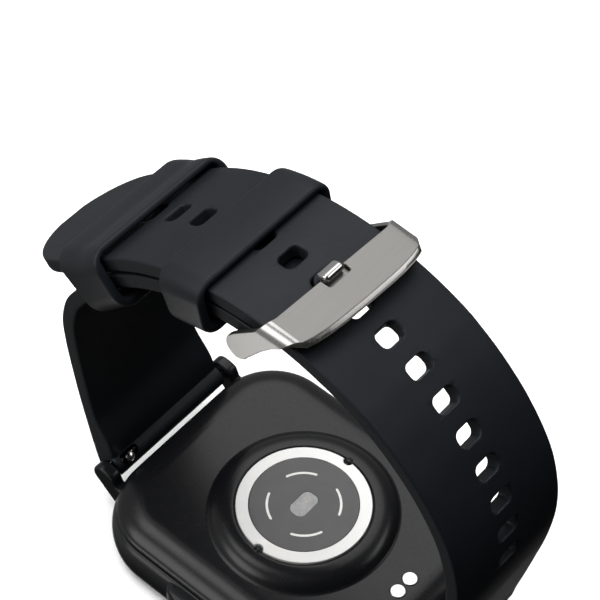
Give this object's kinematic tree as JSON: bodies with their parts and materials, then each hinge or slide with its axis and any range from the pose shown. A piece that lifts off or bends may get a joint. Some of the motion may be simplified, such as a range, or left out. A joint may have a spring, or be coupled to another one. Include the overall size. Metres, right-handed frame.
{
  "type": "smartwatch",
  "caption": "Black rounded-rectangle smartwatch lying on its display, with a round back sensor, a side crown and a buckled silicone strap with steel pin buckle and keepers.",
  "frame": {"origin": "centre of the cover glass's outer face, which the watch lies on", "axes": "+Z out of the back cover, +Y towards the 12 o'clock lugs and short strap, -X towards the crown on the 3 o'clock side"},
  "size_m": [0.0429, 0.0749, 0.0664],
  "materials": {
    "case_black": "satin black moulded case",
    "cover_black": "satin black moulded back cover",
    "glass": "black-backed polished cover glass",
    "display": "dark display stack",
    "gasket": "matte black seal",
    "sensor_ring": "polished metal electrode ring",
    "lens": "smoked sensor lens",
    "window": "grey translucent light window",
    "contact": "plated charging contact",
    "silicone": "matte black silicone",
    "brushed_steel": "brushed stainless steel",
    "polished_steel": "polished stainless steel",
    "magnet": "nickel-plated",
    "board": "green solder mask",
    "chassis": "dark moulded chassis",
    "battery": "foil pouch",
    "component": "black component housing"
  },
  "bodies": {
    "case": {"case_frame": "case_black", "back_cover": "cover_black", "cover_glass": "glass", "display_module": "display", "glass_gasket": "gasket", "back_gasket": "gasket", "sensor_ring": "sensor_ring", "sensor_lens": "lens", "sensor_window": "window", "charge_contact_1": "contact", "charge_contact_2": "contact", "charge_magnet_1": "magnet", "charge_magnet_2": "magnet", "main_board": "board", "sensor_board": "board", "inner_chassis": "chassis", "battery": "battery", "speaker": "component", "microphone": "component", "crown_switch": "component", "optical_sensor": "component", "vibration_motor": "magnet", "board_screw_1": "polished_steel", "board_screw_2": "polished_steel", "board_screw_3": "polished_steel", "board_screw_4": "polished_steel"},
    "crown_plunger": {"crown_plunger": "component"},
    "crown": {"crown_cap": "case_black", "crown_stem": "polished_steel", "crown_seal": "gasket"},
    "strap_long": {"strap_long": "silicone", "spring_bar_6": "polished_steel", "fixed_tip_6": "polished_steel"},
    "release_pin_6": {"release_pin_6": "polished_steel"},
    "strap_short": {"strap_short": "silicone", "spring_bar_12": "polished_steel", "fixed_tip_12": "polished_steel", "buckle_bar": "polished_steel"},
    "release_pin_12": {"release_pin_12": "polished_steel"},
    "keeper_1": {"keeper_1": "silicone"},
    "keeper_2": {"keeper_2": "silicone"},
    "buckle_frame": {"buckle_frame": "brushed_steel"},
    "buckle_tongue": {"buckle_tongue": "polished_steel"}
  },
  "joints": [
    {"name": "crown_press", "type": "slide", "parent": "case", "child": "crown_plunger", "axis": [1, 0, 0], "range_m": [0, 0.0005], "stiffness_N_per_m": 3000},
    {"name": "crown_turn", "type": "hinge", "parent": "crown_plunger", "child": "crown", "pos_m": [-0.022, 0, 0.0044], "axis": [1, 0, 0], "continuous": true},
    {"name": "strap_long_swing", "type": "hinge", "parent": "case", "child": "strap_long", "pos_m": [0, -0.0263, 0.0073], "axis": [1, 0, 0], "range_deg": [0, 55], "deforming": ["strap_long"]},
    {"name": "release_6", "type": "slide", "parent": "strap_long", "child": "release_pin_6", "axis": [1, 0, 0], "range_m": [0, 0.0013], "stiffness_N_per_m": 400},
    {"name": "strap_short_swing", "type": "hinge", "parent": "case", "child": "strap_short", "pos_m": [0, 0.0263, 0.0073], "axis": [-1, 0, 0], "range_deg": [0, 55], "deforming": ["strap_long"]},
    {"name": "release_12", "type": "slide", "parent": "strap_short", "child": "release_pin_12", "axis": [1, 0, 0], "range_m": [0, 0.0013], "stiffness_N_per_m": 400},
    {"name": "keeper_1_slide", "type": "hinge", "parent": "strap_short", "child": "keeper_1", "pos_m": [0, -0.0003, 0.0262], "axis": [1, 0, 0], "range_deg": [-8, 3.5], "deforming": ["strap_long"]},
    {"name": "keeper_2_slide", "type": "hinge", "parent": "strap_short", "child": "keeper_2", "pos_m": [0, -0.0003, 0.0262], "axis": [1, 0, 0], "range_deg": [-2, 8], "deforming": ["strap_long"]},
    {"name": "buckle_swing", "type": "hinge", "parent": "strap_short", "child": "buckle_frame", "pos_m": [0, -0.0003, 0.0601], "axis": [-1, 0, 0], "range_deg": [0, 12], "deforming": ["strap_long"]},
    {"name": "tongue_lift", "type": "hinge", "parent": "buckle_frame", "child": "buckle_tongue", "pos_m": [0, -0.0003, 0.0601], "axis": [-1, 0, 0], "range_deg": [0, 10], "deforming": ["strap_long"]}
  ]
}
